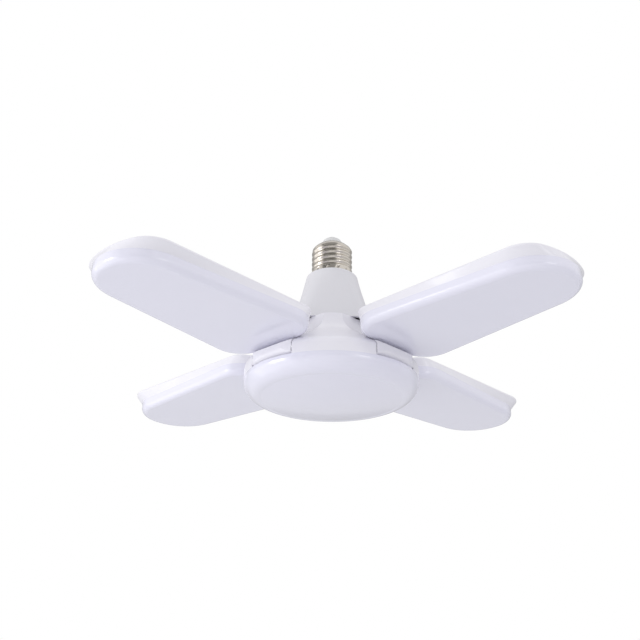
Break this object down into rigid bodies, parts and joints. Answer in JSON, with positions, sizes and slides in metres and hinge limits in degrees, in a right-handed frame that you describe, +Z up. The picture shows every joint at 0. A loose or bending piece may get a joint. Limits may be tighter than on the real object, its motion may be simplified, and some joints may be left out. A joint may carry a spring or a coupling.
{
  "type": "deformable garage light",
  "caption": "Hanging lamp with a screw cap, a tapered neck, a domed centre light and folding paddle-shaped light leaves round a slotted hub.",
  "frame": {"origin": "on the lamp's axis, where the screw cap's skirt meets the neck's shoulder", "axes": "+Z up along the lamp's axis towards the contact button; leaf 1 points along +X and leaf 2 along +Y"},
  "size_m": [0.352, 0.352, 0.1158],
  "materials": {
    "cap_nickel": "polished",
    "insulator_white": "matt",
    "contact_nickel": "polished",
    "neck_white": "satin",
    "body_white": "gloss",
    "diffuser_milky": "semi-gloss",
    "tray_aluminium": "brushed",
    "board_aluminium": "white mask",
    "led_package": "semi-gloss",
    "screw_steel": "zinc plated",
    "pin_steel": "plain",
    "driver_board_green": "satin",
    "capacitor_can": "sleeved",
    "core_ferrite": "matt",
    "winding_copper": "enamelled",
    "chip_black": "matt",
    "lead_red": "satin",
    "lead_black": "satin"
  },
  "bodies": {
    "lamp_body": {"screw_shell": "cap_nickel", "cap_insulator": "insulator_white", "contact_button": "contact_nickel", "driver_neck": "neck_white", "hub_body": "body_white", "centre_tray": "tray_aluminium", "tray_screws": "screw_steel", "centre_led_board": "board_aluminium", "centre_board_screws": "screw_steel", "centre_leds": "led_package", "centre_diffuser": "diffuser_milky", "driver_board": "driver_board_green", "driver_capacitor": "capacitor_can", "driver_choke_core": "core_ferrite", "driver_choke_winding": "winding_copper", "driver_chips": "chip_black", "live_lead": "lead_red", "neutral_lead": "lead_black", "neck_screws": "screw_steel", "leaf_1_hinge_pin": "pin_steel", "leaf_2_hinge_pin": "pin_steel", "leaf_3_hinge_pin": "pin_steel", "leaf_4_hinge_pin": "pin_steel"},
    "leaf_1": {"leaf_1_housing": "body_white", "leaf_1_diffuser": "diffuser_milky", "leaf_1_led_board": "board_aluminium", "leaf_1_board_screws": "screw_steel", "leaf_1_leds": "led_package", "leaf_1_washers": "pin_steel"},
    "leaf_2": {"leaf_2_housing": "body_white", "leaf_2_diffuser": "diffuser_milky", "leaf_2_led_board": "board_aluminium", "leaf_2_board_screws": "screw_steel", "leaf_2_leds": "led_package", "leaf_2_washers": "pin_steel"},
    "leaf_3": {"leaf_3_housing": "body_white", "leaf_3_diffuser": "diffuser_milky", "leaf_3_led_board": "board_aluminium", "leaf_3_board_screws": "screw_steel", "leaf_3_leds": "led_package", "leaf_3_washers": "pin_steel"},
    "leaf_4": {"leaf_4_housing": "body_white", "leaf_4_diffuser": "diffuser_milky", "leaf_4_led_board": "board_aluminium", "leaf_4_board_screws": "screw_steel", "leaf_4_leds": "led_package", "leaf_4_washers": "pin_steel"}
  },
  "joints": [
    {"name": "leaf_1_fold", "type": "hinge", "parent": "lamp_body", "child": "leaf_1", "pos_m": [0.0492, 0, -0.0683], "axis": [0, 1, 0], "range_deg": [0, 90]},
    {"name": "leaf_2_fold", "type": "hinge", "parent": "lamp_body", "child": "leaf_2", "pos_m": [0, 0.0492, -0.0683], "axis": [-1, 0, 0], "range_deg": [0, 90]},
    {"name": "leaf_3_fold", "type": "hinge", "parent": "lamp_body", "child": "leaf_3", "pos_m": [-0.0492, 0, -0.0683], "axis": [0, -1, 0], "range_deg": [0, 90]},
    {"name": "leaf_4_fold", "type": "hinge", "parent": "lamp_body", "child": "leaf_4", "pos_m": [0, -0.0492, -0.0683], "axis": [1, 0, 0], "range_deg": [0, 90]}
  ]
}
